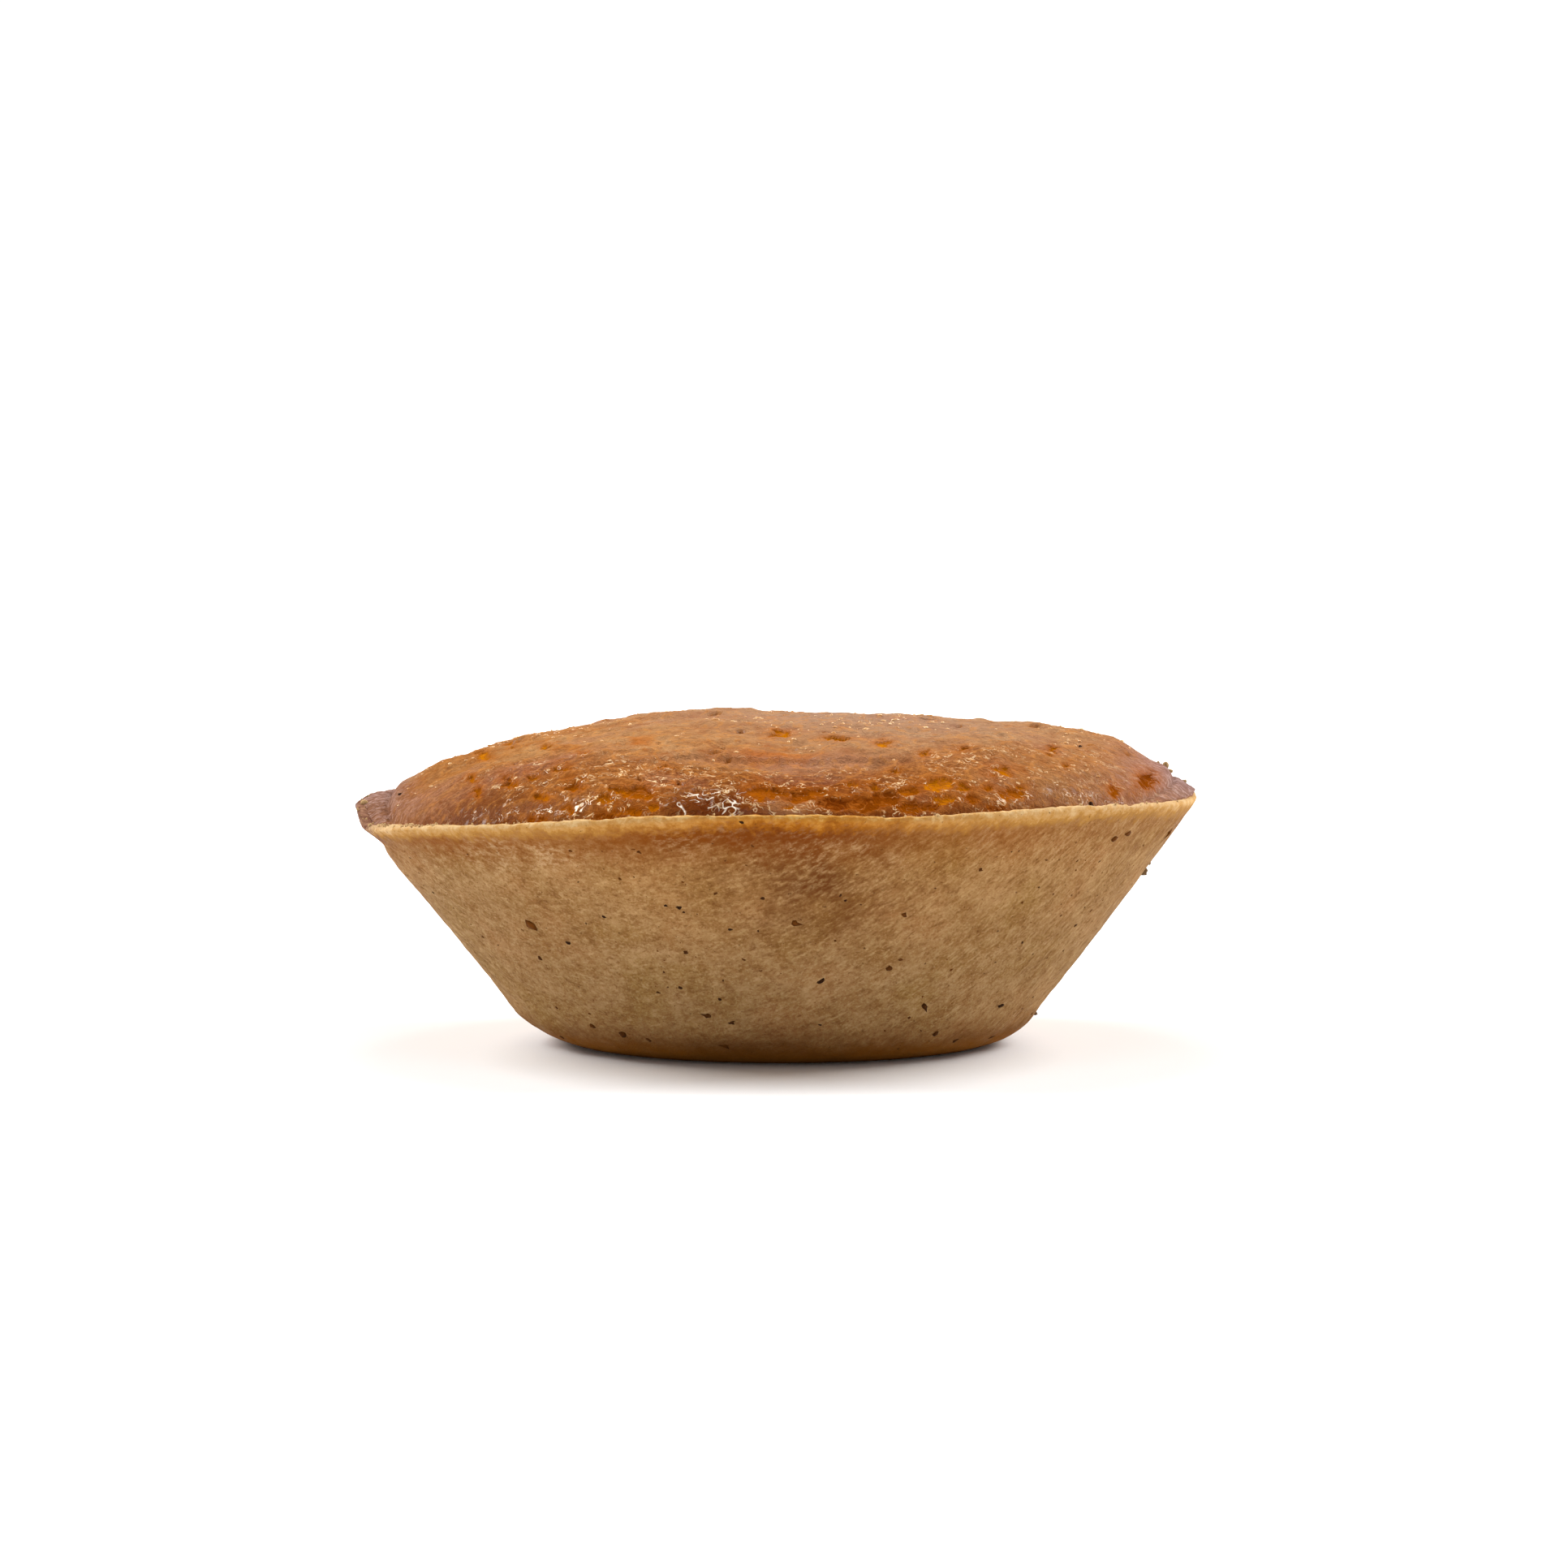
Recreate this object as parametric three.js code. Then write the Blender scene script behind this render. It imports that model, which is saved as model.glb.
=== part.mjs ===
// A bean tart: a thin pastry case baked in a small smooth tin, filled to its rim with a bean and almond
// custard that has risen into a low dome. Millimetres, +Z up. The origin is on the table, under the middle
// of the rim, and -Y is the tart's front.
import * as THREE from "three";

// Driving dimensions of the pastry case
const RIM_RADIUS = 36; // outside of the rim
const RIM_HEIGHT = 21.2; // the rim above the table, before it dips and ripples
const FOOT_RADIUS = 20; // where the wall would meet the table if the foot's edge were sharp
const FOOT_ROUND = 7.3; // radius of the foot's outer edge
const FLOOR_THICKNESS = 1.8;
const RIM_THICKNESS = 1.1;
const RIM_ROUNDING = 0.35; // the rim's two edges below its crown
const FOOT_INSET = 0.55; // how far the inside's sharp foot would stand in from the outside's
const FOOT_ROUND_INSIDE = 5.8;

// How the baked case departs from the tin: it leans, and its rim dips at the front left
const LEAN = 0.021; // sideways shift of the rim for each millimetre of height
const RIM_DIP = { angle: -160, depth: 1.9, leftWidth: 10, frontWidth: 34 }; // degrees and millimetres
const RIM_TILT = 0.25; // the right of the rim is this much high, and the left this much low
const RIM_RIPPLE = { height: 0.16, waves: 7, start: 0.8 };

// Driving dimensions of the filling
const FIT_GAP = 0.3; // between the filling and the case
const EDGE_BELOW_RIM = 0.9; // the filling's edge under the rim
const DOME_RISE = 7.7; // the dome's top above its edge
const DOME_FULLNESS = 2.8; // powers of the dome's curve: a flat middle and steep shoulders
const DOME_SHOULDER = 0.56;

// Broad swells and hollows of the dome: place on the plan, height, and radius of each
const DOME_SWELLS = [
  { x: 1, y: -25, height: -1.7, radius: 11 }, // the low front
  { x: -21, y: -17, height: -0.6, radius: 7 },
  { x: -27, y: 2, height: -1.5, radius: 7 }, // the sunken left shoulder
  { x: -18, y: 4, height: -0.5, radius: 7 },
  { x: -7, y: 5, height: 0.35, radius: 9 }, // the top
  { x: 5, y: 9, height: -0.3, radius: 6 },
  { x: 29, y: 1, height: 1.2, radius: 7 }, // the full right shoulder
];
const SWELL_FADE = 8; // power of the swells' fading towards the filling's edge

// Facets
const SEGMENTS = 64; // round the tart
const FLOOR_STEPS = 2;
const WALL_STEPS = 7;
const ROUND_STEPS = 7;
const DOME_STEPS = 13;

const radians = THREE.MathUtils.degToRad;
const point = (r, z) => new THREE.Vector2(r, z);

/** Points of a straight run, with its start and without its end. */
function run(from, to, steps) {
  return Array.from({ length: steps }, (_, i) => from.clone().lerp(to, i / steps));
}

/** Points of the round between a level floor and the wall that leaves `corner` at `slope`, from the floor up. */
function footRound(corner, radius, slope) {
  const reach = radius * Math.tan(slope / 2);
  return Array.from({ length: ROUND_STEPS + 1 }, (_, i) => {
    const turn = (slope * i) / ROUND_STEPS;
    return point(
      corner.x - reach + radius * Math.sin(turn),
      corner.y + radius * (1 - Math.cos(turn)),
    );
  });
}

/** A section's floor, foot and wall, from the axis at `floor` to the `top` point, without the top itself. */
function cupSection(floor, footRadius, rounding, top) {
  const corner = point(footRadius, floor);
  const slope = Math.atan2(top.y - floor, top.x - footRadius);
  const foot = footRound(corner, rounding, slope);
  const wallStart = foot.pop();
  return [...run(point(0, floor), foot[0], FLOOR_STEPS), ...foot, ...run(wallStart, top, WALL_STEPS)];
}

const rimOutside = point(RIM_RADIUS, RIM_HEIGHT - RIM_ROUNDING);
const rimTop = point(RIM_RADIUS - RIM_THICKNESS / 2, RIM_HEIGHT);
const rimInside = point(RIM_RADIUS - RIM_THICKNESS, RIM_HEIGHT - RIM_ROUNDING);
const footRadiusInside = FOOT_RADIUS - FOOT_INSET;

/** How far the rim stands above or below RIM_HEIGHT at an angle round the tart. */
function rimWave(angle) {
  const turn = angle - radians(RIM_DIP.angle);
  const apart = THREE.MathUtils.euclideanModulo(turn + Math.PI, 2 * Math.PI) - Math.PI;
  const width = radians(apart < 0 ? RIM_DIP.leftWidth : RIM_DIP.frontWidth);
  const dip = RIM_DIP.depth * Math.exp(-((apart / width) ** 2));
  const ripple = RIM_RIPPLE.height * Math.sin(RIM_RIPPLE.waves * angle + RIM_RIPPLE.start);
  return RIM_TILT * Math.cos(angle) + ripple - dip;
}

/** Moves a point of the true tart to where baking left it: up or down with the rim, and over with the lean. */
function bake(p) {
  const outward = Math.min(1, Math.hypot(p.x, p.y) / RIM_RADIUS);
  const upward = THREE.MathUtils.clamp(p.z / RIM_HEIGHT, 0, 1);
  const lean = LEAN * (RIM_HEIGHT - p.z);
  p.z += rimWave(Math.atan2(p.y, p.x)) * outward ** 2 * upward ** 2;
  p.x += lean;
}

/** Turns a section about the tart's axis, then moves each of its points. */
function turned(section, move) {
  const geometry = new THREE.LatheGeometry(section, SEGMENTS).rotateX(Math.PI / 2);
  const positions = geometry.attributes.position;
  const p = new THREE.Vector3();
  for (let i = 0; i < positions.count; i++) {
    move(p.fromBufferAttribute(positions, i));
    positions.setXYZ(i, p.x, p.y, p.z);
  }
  geometry.computeVertexNormals();
  return geometry;
}

// Pastry case: one thin shell with a rounded foot and a rounded rim
function pastryCase() {
  const outside = cupSection(0, FOOT_RADIUS, FOOT_ROUND, rimOutside);
  const inside = cupSection(FLOOR_THICKNESS, footRadiusInside, FOOT_ROUND_INSIDE, rimInside);
  const section = [...outside, rimOutside, rimTop, rimInside, ...inside.reverse()];
  const crust = new THREE.MeshStandardMaterial({ color: "#bf9a66", roughness: 0.75, metalness: 0 });
  const mesh = new THREE.Mesh(turned(section, bake), crust);
  mesh.name = "pastry_case";
  return mesh;
}

/** The dome's section from `edge` to the axis: full and level in the middle, with closer steps at the shoulder. */
function domeSection(edge) {
  return Array.from({ length: DOME_STEPS + 1 }, (_, i) => {
    const share = i < DOME_STEPS ? Math.cos((i / DOME_STEPS) * (Math.PI / 2)) : 0;
    const rise = DOME_RISE * (1 - share ** DOME_FULLNESS) ** DOME_SHOULDER;
    return point(edge.x * share, edge.y + rise);
  });
}

/** Adds the broad swells and hollows to a point of the dome, fading out at the filling's edge. */
function swell(p, edgeRadius) {
  const fade = 1 - Math.min(1, Math.hypot(p.x, p.y) / edgeRadius) ** SWELL_FADE;
  for (const s of DOME_SWELLS) {
    const away = Math.hypot(p.x - s.x, p.y - s.y) / s.radius;
    p.z += s.height * fade * Math.exp(-(away ** 2));
  }
}

// Filling: a solid that fills the case, with its domed top standing above the rim
function beanFilling() {
  const wall = (rimInside.x - footRadiusInside) / (rimInside.y - FLOOR_THICKNESS); // run for each rise
  const edgeHeight = RIM_HEIGHT - EDGE_BELOW_RIM;
  const edge = point(rimInside.x - FIT_GAP - wall * (rimInside.y - edgeHeight), edgeHeight);
  const cup = cupSection(FLOOR_THICKNESS + FIT_GAP, footRadiusInside - FIT_GAP / 2, FOOT_ROUND_INSIDE, edge);
  const section = [...cup, ...domeSection(edge)];
  const custard = new THREE.MeshStandardMaterial({ color: "#b9702f", roughness: 0.35, metalness: 0 });
  const shape = turned(section, (p) => {
    if (p.z > edgeHeight) swell(p, edge.x);
    bake(p);
  });
  const mesh = new THREE.Mesh(shape, custard);
  mesh.name = "bean_filling";
  return mesh;
}

const tart = new THREE.Group();
tart.add(pastryCase(), beanFilling());

export default tart;
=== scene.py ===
import bpy
import numpy as np
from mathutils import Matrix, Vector


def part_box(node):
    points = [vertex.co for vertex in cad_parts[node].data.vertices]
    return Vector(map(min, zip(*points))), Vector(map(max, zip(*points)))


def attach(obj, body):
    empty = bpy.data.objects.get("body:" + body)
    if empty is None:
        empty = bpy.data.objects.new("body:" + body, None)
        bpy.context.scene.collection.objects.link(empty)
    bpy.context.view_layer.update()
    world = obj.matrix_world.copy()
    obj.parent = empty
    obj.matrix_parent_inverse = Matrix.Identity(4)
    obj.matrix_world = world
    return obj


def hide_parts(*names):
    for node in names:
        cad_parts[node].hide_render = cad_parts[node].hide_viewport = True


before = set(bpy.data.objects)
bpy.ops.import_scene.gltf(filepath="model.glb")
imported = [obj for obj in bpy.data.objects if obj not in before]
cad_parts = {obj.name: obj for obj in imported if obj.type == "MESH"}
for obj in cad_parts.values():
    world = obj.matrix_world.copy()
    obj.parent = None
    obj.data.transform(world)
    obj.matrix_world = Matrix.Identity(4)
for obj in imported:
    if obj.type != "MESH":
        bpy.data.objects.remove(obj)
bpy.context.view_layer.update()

# Table, light and camera
# The tart stands on a white table before a low white wall, with a white board at each side. A strong softbox
# at each side lights the table to the tart's foot, a weak one over the camera fills the shade, and a small
# lamp behind the tart makes the glints. All sizes here are in mm, and become metres when a mesh is made.
mm = 0.001
TABLE_SIDE = 6000
TABLE_WHITE = 0.90
ROOM_LIGHT = 0.18
BACK_WALL_LIGHT = 1.05
BACK_WALL_TOP = (0.17, 0.26)
BOARD_LIGHT = 0.70
BOARD_WIDTH = (0.55, 0.75)
BOARD_TOP = (0.55, 0.75)
GLINT_LAMP_WAY = (-0.04, 0.40, 0.91)
GLINT_LAMP_LIGHT = 0.3
GLINT_LAMP_ANGLE = 12
FRONT_SOFTBOX_WAY = (0.02, -0.38, 0.925)
FRONT_SOFTBOX_LIGHT = 0.22
FRONT_SOFTBOX_ANGLE = 24
SIDE_SOFTBOX_WAY = (0.70, 0.30, 0.65)
SIDE_SOFTBOX_LIGHT = 3.75
SIDE_SOFTBOX_ANGLE = 36
CAMERA_PLACE = Vector((0.66, -320.0, 36.0))
CAMERA_AIM = Vector((0.66, 0.0, 22.1))
CAMERA_LENS = 85.5


def srgb(red, green, blue):
    """A colour on the 0 to 255 scale of screens, as the linear share that a shader takes."""
    share = np.array((red, green, blue)) / 255
    linear = np.where(share <= 0.04045, share / 12.92, ((share + 0.055) / 1.055) ** 2.4)
    return (*linear, 1.0)


class Finish:
    """The nodes of a material or of the room's light, with a short call for each kind. A value for a node is
    another node's socket, a number, or the name of a number that is stored for each vertex."""

    def __init__(self, name, kind=bpy.data.materials):
        """Starts with the plain shader of a new material or world, and the place of each point in mm."""
        self.owner = kind.new(name)
        self.owner.use_nodes = True
        self.tree = self.owner.node_tree
        self.shader = self.tree.nodes.get("Principled BSDF") or self.tree.nodes["Background"]
        place = {"Vector": self.node("TexCoord").outputs["Object"], "Scale": 1 / mm}
        self.place = self.node("VectorMath", place, operation="SCALE").outputs["Vector"]
        self.colour = None

    def node(self, kind, inputs=None, **settings):
        """A node of a kind, with its settings, and with its inputs joined to sockets or set to values."""
        made = self.tree.nodes.new("ShaderNode" + kind)
        for key, value in settings.items():
            setattr(made, key, value)
        for key, value in (inputs or {}).items():
            self.join(value, made.inputs[key])
        return made

    def join(self, value, socket):
        """Links a socket to another, or to the number stored under a name, or sets it to a value."""
        if isinstance(value, str):
            value = self.stored(value)
        if isinstance(value, bpy.types.NodeSocket):
            self.tree.links.new(value, socket)
        else:
            socket.default_value = value

    def set(self, **values):
        """Sets or links the shader's own sockets, named with _ for each space."""
        for key, value in values.items():
            self.join(value, self.shader.inputs[key.replace("_", " ")])

    def stored(self, name):
        """The number stored for each vertex under that name."""
        return self.node("Attribute", attribute_name=name).outputs["Fac"]

    def noise(self, grain, detail=3.0, rough=0.55, place=None, warp=0.0):
        """Noise from 0 to 1 with grains of that size."""
        inputs = {"Vector": place or self.place, "Scale": 1 / grain, "Detail": detail, "Roughness": rough,
                  "Distortion": warp}
        return self.node("TexNoise", inputs).outputs["Fac"]

    def spread(self, value, low, high, start=0.0, end=1.0, kind="LINEAR"):
        """The value's stretch from low to high, mapped to start to end and held there."""
        inputs = {"Value": value, "From Min": low, "From Max": high, "To Min": start, "To Max": end}
        return self.node("MapRange", inputs, interpolation_type=kind).outputs["Result"]

    def maths(self, operation, *values):
        """One step of arithmetic on values."""
        made = self.node("Math", operation=operation)
        for socket, value in zip(made.inputs, values):
            self.join(value, socket)
        return made.outputs["Value"]

    def times(self, product, *others):
        """The product of some values."""
        for other in others:
            product = self.maths("MULTIPLY", product, other)
        return product

    def blend(self, share, under, over, kind="MIX"):
        """Lays one colour over another by a share from 0 to 1. A tuple is a colour as screens give it."""
        made = self.node("Mix", data_type="RGBA", blend_type=kind)
        for index, value in ((0, share), (6, under), (7, over)):
            self.join(srgb(*value) if isinstance(value, tuple) else value, made.inputs[index])
        return made.outputs[2]

    def lay(self, tint, *shares, kind="MIX"):
        """Lays a tint over the colour so far, by the product of some shares from 0 to 1."""
        self.colour = self.blend(self.times(*shares), self.colour, tint, kind)

    def layers(self, *rows):
        """Lays tints over the colour so far, one by one: each row has its tint, a pattern, the stretch of it
        over which the tint comes in, and the most of the tint."""
        for tint, pattern, low, high, most in rows:
            self.lay(tint, self.spread(pattern, low, high, 0.0, most))

    def bump(self, height, depth):
        """A normal bent by a height from 0 to 1 that stands for that depth."""
        return self.node("Bump", {"Height": height, "Distance": depth * mm}).outputs["Normal"]


def mesh_piece(name, places, corners, counts):
    """A smooth mesh object from whole arrays: vertices, the faces' corners in a row, corners per face."""
    mesh = bpy.data.meshes.new(name)
    mesh.vertices.add(len(places))
    mesh.vertices.foreach_set("co", (places * mm).astype(np.float32).ravel())
    mesh.loops.add(len(corners))
    mesh.loops.foreach_set("vertex_index", np.asarray(corners, np.int32))
    mesh.polygons.add(len(counts))
    mesh.polygons.foreach_set("loop_start", (np.cumsum(counts) - counts).astype(np.int32))
    mesh.update(calc_edges=True)
    mesh.shade_smooth()
    piece = bpy.data.objects.new(name, mesh)
    bpy.context.scene.collection.objects.link(piece)
    return piece


def aim(thing, target):
    """Turns a lamp or camera so that it looks from its place at the target, with its top side up."""
    thing.rotation_euler = (target - thing.location).to_track_quat("-Z", "Y").to_euler()


def far_lamp(name, way, light, angle):
    """A lamp so far off that it lights the table evenly: the way to it, its light, its degrees across."""
    data = bpy.data.lights.new(name, "SUN")
    data.energy = light
    data.angle = np.radians(angle)
    made = bpy.data.objects.new(name, data)
    made.location = way
    aim(made, Vector())
    bpy.context.scene.collection.objects.link(made)


table_corners = np.array([(-1, -1, 0), (1, -1, 0), (1, 1, 0), (-1, 1, 0)]) * TABLE_SIDE / 2
table = mesh_piece("table", table_corners, np.arange(4), np.array([4]))
table_paint = Finish("white_table")
table_paint.set(Base_Color=(*[TABLE_WHITE] * 3, 1), Roughness=0.9, Specular_IOR_Level=0.1)
table.data.materials.append(table_paint.owner)

walls = Finish("white_walls", bpy.data.worlds)
wall_way = walls.node("SeparateXYZ", {"Vector": walls.node("TexCoord").outputs["Generated"]}).outputs
back_wall = walls.spread(wall_way["Z"], *BACK_WALL_TOP, BACK_WALL_LIGHT, ROOM_LIGHT, "SMOOTHSTEP")
board = walls.spread(wall_way["Z"], *BOARD_TOP, BOARD_LIGHT, ROOM_LIGHT, "SMOOTHSTEP")
sideways = walls.maths("ABSOLUTE", wall_way["X"])
walls.set(Strength=walls.spread(sideways, *BOARD_WIDTH, back_wall, board, "SMOOTHSTEP"), Color=(1, 1, 1, 1))
bpy.context.scene.world = walls.owner

far_lamp("glint_lamp", GLINT_LAMP_WAY, GLINT_LAMP_LIGHT, GLINT_LAMP_ANGLE)
far_lamp("front_softbox", FRONT_SOFTBOX_WAY, FRONT_SOFTBOX_LIGHT, FRONT_SOFTBOX_ANGLE)
for side, turned in (("left", -1), ("right", 1)):
    side_way = Vector(SIDE_SOFTBOX_WAY) * Vector((turned, 1, 1))
    far_lamp(side + "_softbox", side_way, SIDE_SOFTBOX_LIGHT, SIDE_SOFTBOX_ANGLE)

camera_data = bpy.data.cameras.new("camera")
camera_data.lens = CAMERA_LENS
camera_data.clip_start = 10 * mm
camera = bpy.data.objects.new("camera", camera_data)
camera.location = CAMERA_PLACE * mm
aim(camera, CAMERA_AIM * mm)
bpy.context.scene.collection.objects.link(camera)
bpy.context.scene.camera = camera
bpy.context.scene.view_settings.view_transform = "Standard"

# Pastry case
# A round of thin dough pressed into a small smooth tin, trimmed at the top and baked with its filling. It is
# one shell: flat foot, rounded corner, straight sloping wall and a torn rim that sank at the front left.
case_low, case_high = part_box("pastry_case")
RIM_RADIUS = (case_high.x - case_low.x) / 2 / mm
RIM_HEIGHT = 21.2
FOOT_RADIUS = 20
FOOT_ROUND = 7.3
FLOOR_THICKNESS = 1.8
LIP_IN = np.array((0, 0.06, 0.18, 0.35, 0.55, 0.75, 0.92, 1.04, 1.10))
LIP_DOWN = np.array((0.35, 0.13, 0.03, 0.0, 0.02, 0.05, 0.12, 0.25, 0.45))
LEAN = 0.021
RIM_DIP_ANGLE = -160
RIM_DIP_DEPTH = 1.9
RIM_DIP_WIDTHS = (10, 34)
RIM_TILT = 0.25
RIM_RIPPLE = 0.16
RIM_TEAR = 0.6
LEFT_BULGE = 0.4
LEFT_PINCH = 0.45
PINCH_HEIGHT = 19.2
PINCH_REACH = 1.2
FOOT_LUMPS = 0.32
FOOT_LUMPS_HEIGHT = 2.5
STROKE_DEPTH = 0.04
STROKE_GRAIN = 0.6
STROKE_BOW = 0.012
STROKE_MIDDLE = -16
STROKE_STRETCH = 2.2
CASE_COLUMNS = 798
MAP_STRIPS = 3
MAP_MARGIN = 0.004
MAP_WALL_SHARE = 0.29
WALL_SLOPE = np.arctan2(RIM_HEIGHT - LIP_DOWN[0], RIM_RADIUS - FOOT_RADIUS)
FOOT_FLAT = FOOT_RADIUS - FOOT_ROUND * np.tan(WALL_SLOPE / 2)


def scrambled(lattice, seed):
    """A whole number from 0 to 65535 for each lattice corner, by multiplying and folding its indices."""
    mixed = lattice[..., 0] * 73856093 ^ lattice[..., 1] * 19349663 ^ lattice[..., 2] * 83492791
    mixed = (mixed ^ seed * 40503) & 0x7FFFFFFF
    mixed = (mixed ^ mixed >> 13) * 1274126177 & 0x7FFFFFFF
    return (mixed ^ mixed >> 16) & 0xFFFF


def lumps(places, grain, seed):
    """Random relief from about -1 to 1 with lumps about `grain` across: each corner of a cubic lattice has a
    random slope, and those of the eight corners round a place blend by 6t^5 - 15t^4 + 10t^3."""
    slopes = np.random.default_rng(seed).normal(size=(256, 3))
    slopes /= np.linalg.norm(slopes, axis=1, keepdims=True)
    scaled = places / grain
    corner = np.floor(scaled).astype(np.int64)
    within = scaled - corner
    fade = within**3 * (within * (within * 6 - 15) + 10)
    height = np.zeros(scaled.shape[:-1])
    for step in np.ndindex(2, 2, 2):
        slope = slopes[scrambled(corner + step, seed) & 255]
        weight = np.where(step, fade, 1 - fade).prod(axis=-1)
        height += weight * (slope * (within - step)).sum(axis=-1)
    return 1.6 * height


def relief(places, *layers):
    """A sum of lumps: each layer gives their height, their grain and a seed."""
    return sum(height * lumps(places, grain, seed) for height, grain, seed in layers)


def ramp(low, high, value):
    """0 below low, 1 above high, and the curve 3t^2 - 2t^3 between them."""
    share = np.clip((value - low) / (high - low), 0, 1)
    return share * share * (3 - 2 * share)


def bell(value, middle, width):
    """1 at the middle, falling to both sides as exp(-d^2), with d the distance in widths."""
    return np.exp(-(((value - middle) / width) ** 2))


def turn_from(angle, middle):
    """How far an angle is from a middle one given in degrees, in the shorter way round."""
    return (angle - np.radians(middle) + np.pi) % (2 * np.pi) - np.pi


def near_angle(angle, middle, width):
    """1 at the middle angle, falling to both sides as a bell, with the middle and the width in degrees."""
    return bell(turn_from(angle, middle), 0, np.radians(width))


def rim_wave(angle):
    """How far the rim stands above its mean height: tilted to the right, less a dip with unlike sides."""
    width = np.where(turn_from(angle, RIM_DIP_ANGLE) < 0, *RIM_DIP_WIDTHS)
    ripple = RIM_RIPPLE * np.sin(7 * angle + 0.8)
    return RIM_TILT * np.cos(angle) + ripple - RIM_DIP_DEPTH * near_angle(angle, RIM_DIP_ANGLE, width)


def bundle(*grids):
    """Grids of numbers as one grid that holds a number of each at every place."""
    return np.stack(np.broadcast_arrays(*grids), axis=-1)


def baked(angle, radius, height):
    """Places in the baked tart: the point at radius and height, raised with the rim's wave by the square of
    its shares of both, and leaning sideways below the rim."""
    share = np.clip(radius / RIM_RADIUS, 0, 1) * np.clip(height / RIM_HEIGHT, 0, 1)
    across = radius * np.cos(angle) + LEAN * (RIM_HEIGHT - height)
    return bundle(across, radius * np.sin(angle), height + rim_wave(angle) * share**2)


def case_section():
    """Rows of the shell's section, from the axis under the foot, round the rim, to the axis inside: radius,
    height, and whether each row is on the outside (1), the inside (0) or the lip between them."""
    turn = np.linspace(0, WALL_SLOPE, 18)
    floor = np.linspace(0, FOOT_FLAT, 5)[:-1]
    foot_r = FOOT_FLAT + FOOT_ROUND * np.sin(turn)
    foot_z = FOOT_ROUND * (1 - np.cos(turn))
    up = np.linspace(0, 1, 62)[1:-1]
    wall_r = foot_r[-1] + up * (RIM_RADIUS - foot_r[-1])
    wall_z = foot_z[-1] + up * (RIM_HEIGHT - LIP_DOWN[0] - foot_z[-1])
    lip_r = RIM_RADIUS - LIP_IN
    lip_z = RIM_HEIGHT - LIP_DOWN
    down = np.linspace(0, 1, 9)[1:]
    inner_r = lip_r[-1] - down * (RIM_RADIUS - FOOT_RADIUS)
    inner_z = lip_z[-1] - down * (lip_z[-1] - FLOOR_THICKNESS)
    end_r = np.linspace(inner_r[-1], 0, 4)[1:]
    radius = np.concatenate([floor, foot_r, wall_r, lip_r, inner_r, end_r])
    height = np.concatenate([0 * floor, foot_z, wall_z, lip_z, inner_z, 0 * end_r + FLOOR_THICKNESS])
    outside = np.concatenate([0 * floor + 1, 0 * foot_r + 1, 0 * wall_r + 1, np.linspace(1, 0, len(lip_r)),
                              0 * inner_r, 0 * end_r])
    return radius, height, outside


def turned_faces(rows, columns):
    """Corners and counts of a turned skin: quads between neighbouring rows, wrapped round the columns, and
    fans of triangles to the single points that are its first and last rows."""
    ring = np.arange(columns)
    after = (ring + 1) % columns
    start = 1 + columns * np.arange(rows - 3)[:, None]
    quads = bundle(start + ring, start + after, start + columns + after, start + columns + ring)
    first = bundle(0, after + 1, ring + 1)
    last = 1 + columns * (rows - 3)
    final = bundle(last + columns, last + ring, last + after)
    corners = np.concatenate([first.ravel(), quads.ravel(), final.ravel()])
    counts = np.concatenate([np.full(columns, 3), np.full(quads.size // 4, 4), np.full(columns, 3)])
    return corners, counts


def dough_strokes(places):
    """Flaky strokes, left by pressing the dough into the tin: lumps stretched along lines that bow upwards
    to both sides of a middle left of the front."""
    bowed = places[..., 2] - STROKE_BOW * (places[..., 0] - STROKE_MIDDLE) ** 2
    flat = places[..., :2] / STROKE_STRETCH
    return lumps(np.concatenate([flat, bowed[..., None]], axis=-1), STROKE_GRAIN, 5)


def dough_relief(angle, places):
    """How far the dough stands out from the tin's shape, none at its flat foot: a bulge at the left with a
    pinch above it, unevenness, blisters and grain, strokes, and lumps round the corner of the foot."""
    z = places[..., 2]
    bulge = LEFT_BULGE * near_angle(angle, 180, 50) * ramp(0.92 * RIM_HEIGHT, 0.70 * RIM_HEIGHT, z)
    pinch = LEFT_PINCH * near_angle(angle, 180, 22) * bell(z, PINCH_HEIGHT, PINCH_REACH)
    uneven = relief(places, (0.15, 12, 1), (0.08, 4.5, 2), (0.05, 1.8, 3), (0.03, 0.8, 4))
    wall = bulge - pinch + uneven + STROKE_DEPTH * dough_strokes(places)
    corner = FOOT_LUMPS * lumps(places, 4.5, 8) * bell(z, FOOT_LUMPS_HEIGHT, FOOT_LUMPS_HEIGHT)
    return wall * ramp(0, 3, z) + corner * ramp(0, 0.8, z)


section_r, section_z, section_out = case_section()
case_angle, case_r = np.meshgrid(np.linspace(-np.pi, np.pi, CASE_COLUMNS, endpoint=False), section_r)
case_z = np.repeat(section_z[:, None], CASE_COLUMNS, axis=1)
tin = bundle(case_r * np.cos(case_angle), case_r * np.sin(case_angle), case_z)
along_r = np.gradient(section_r)
along_z = np.gradient(section_z)
along = np.hypot(along_r, along_z)
stand_out = dough_relief(case_angle, tin) * ramp(0, 0.5, section_out)[:, None]
torn_left = near_angle(case_angle, -158, 12)
torn_right = near_angle(case_angle, -36, 16)
tear = relief(tin, (0.08, 2.1, 6), (0.07, 0.6, 7)) * ramp(RIM_HEIGHT - RIM_TEAR, RIM_HEIGHT, case_z)
case_r = case_r + stand_out * (along_z / along)[:, None] + 0.4 * tear
case_z = case_z - stand_out * (along_r / along)[:, None] + tear * (1 + 2.5 * torn_left + torn_right)
case_places = baked(case_angle, case_r, np.maximum(case_z, 0))


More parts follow.
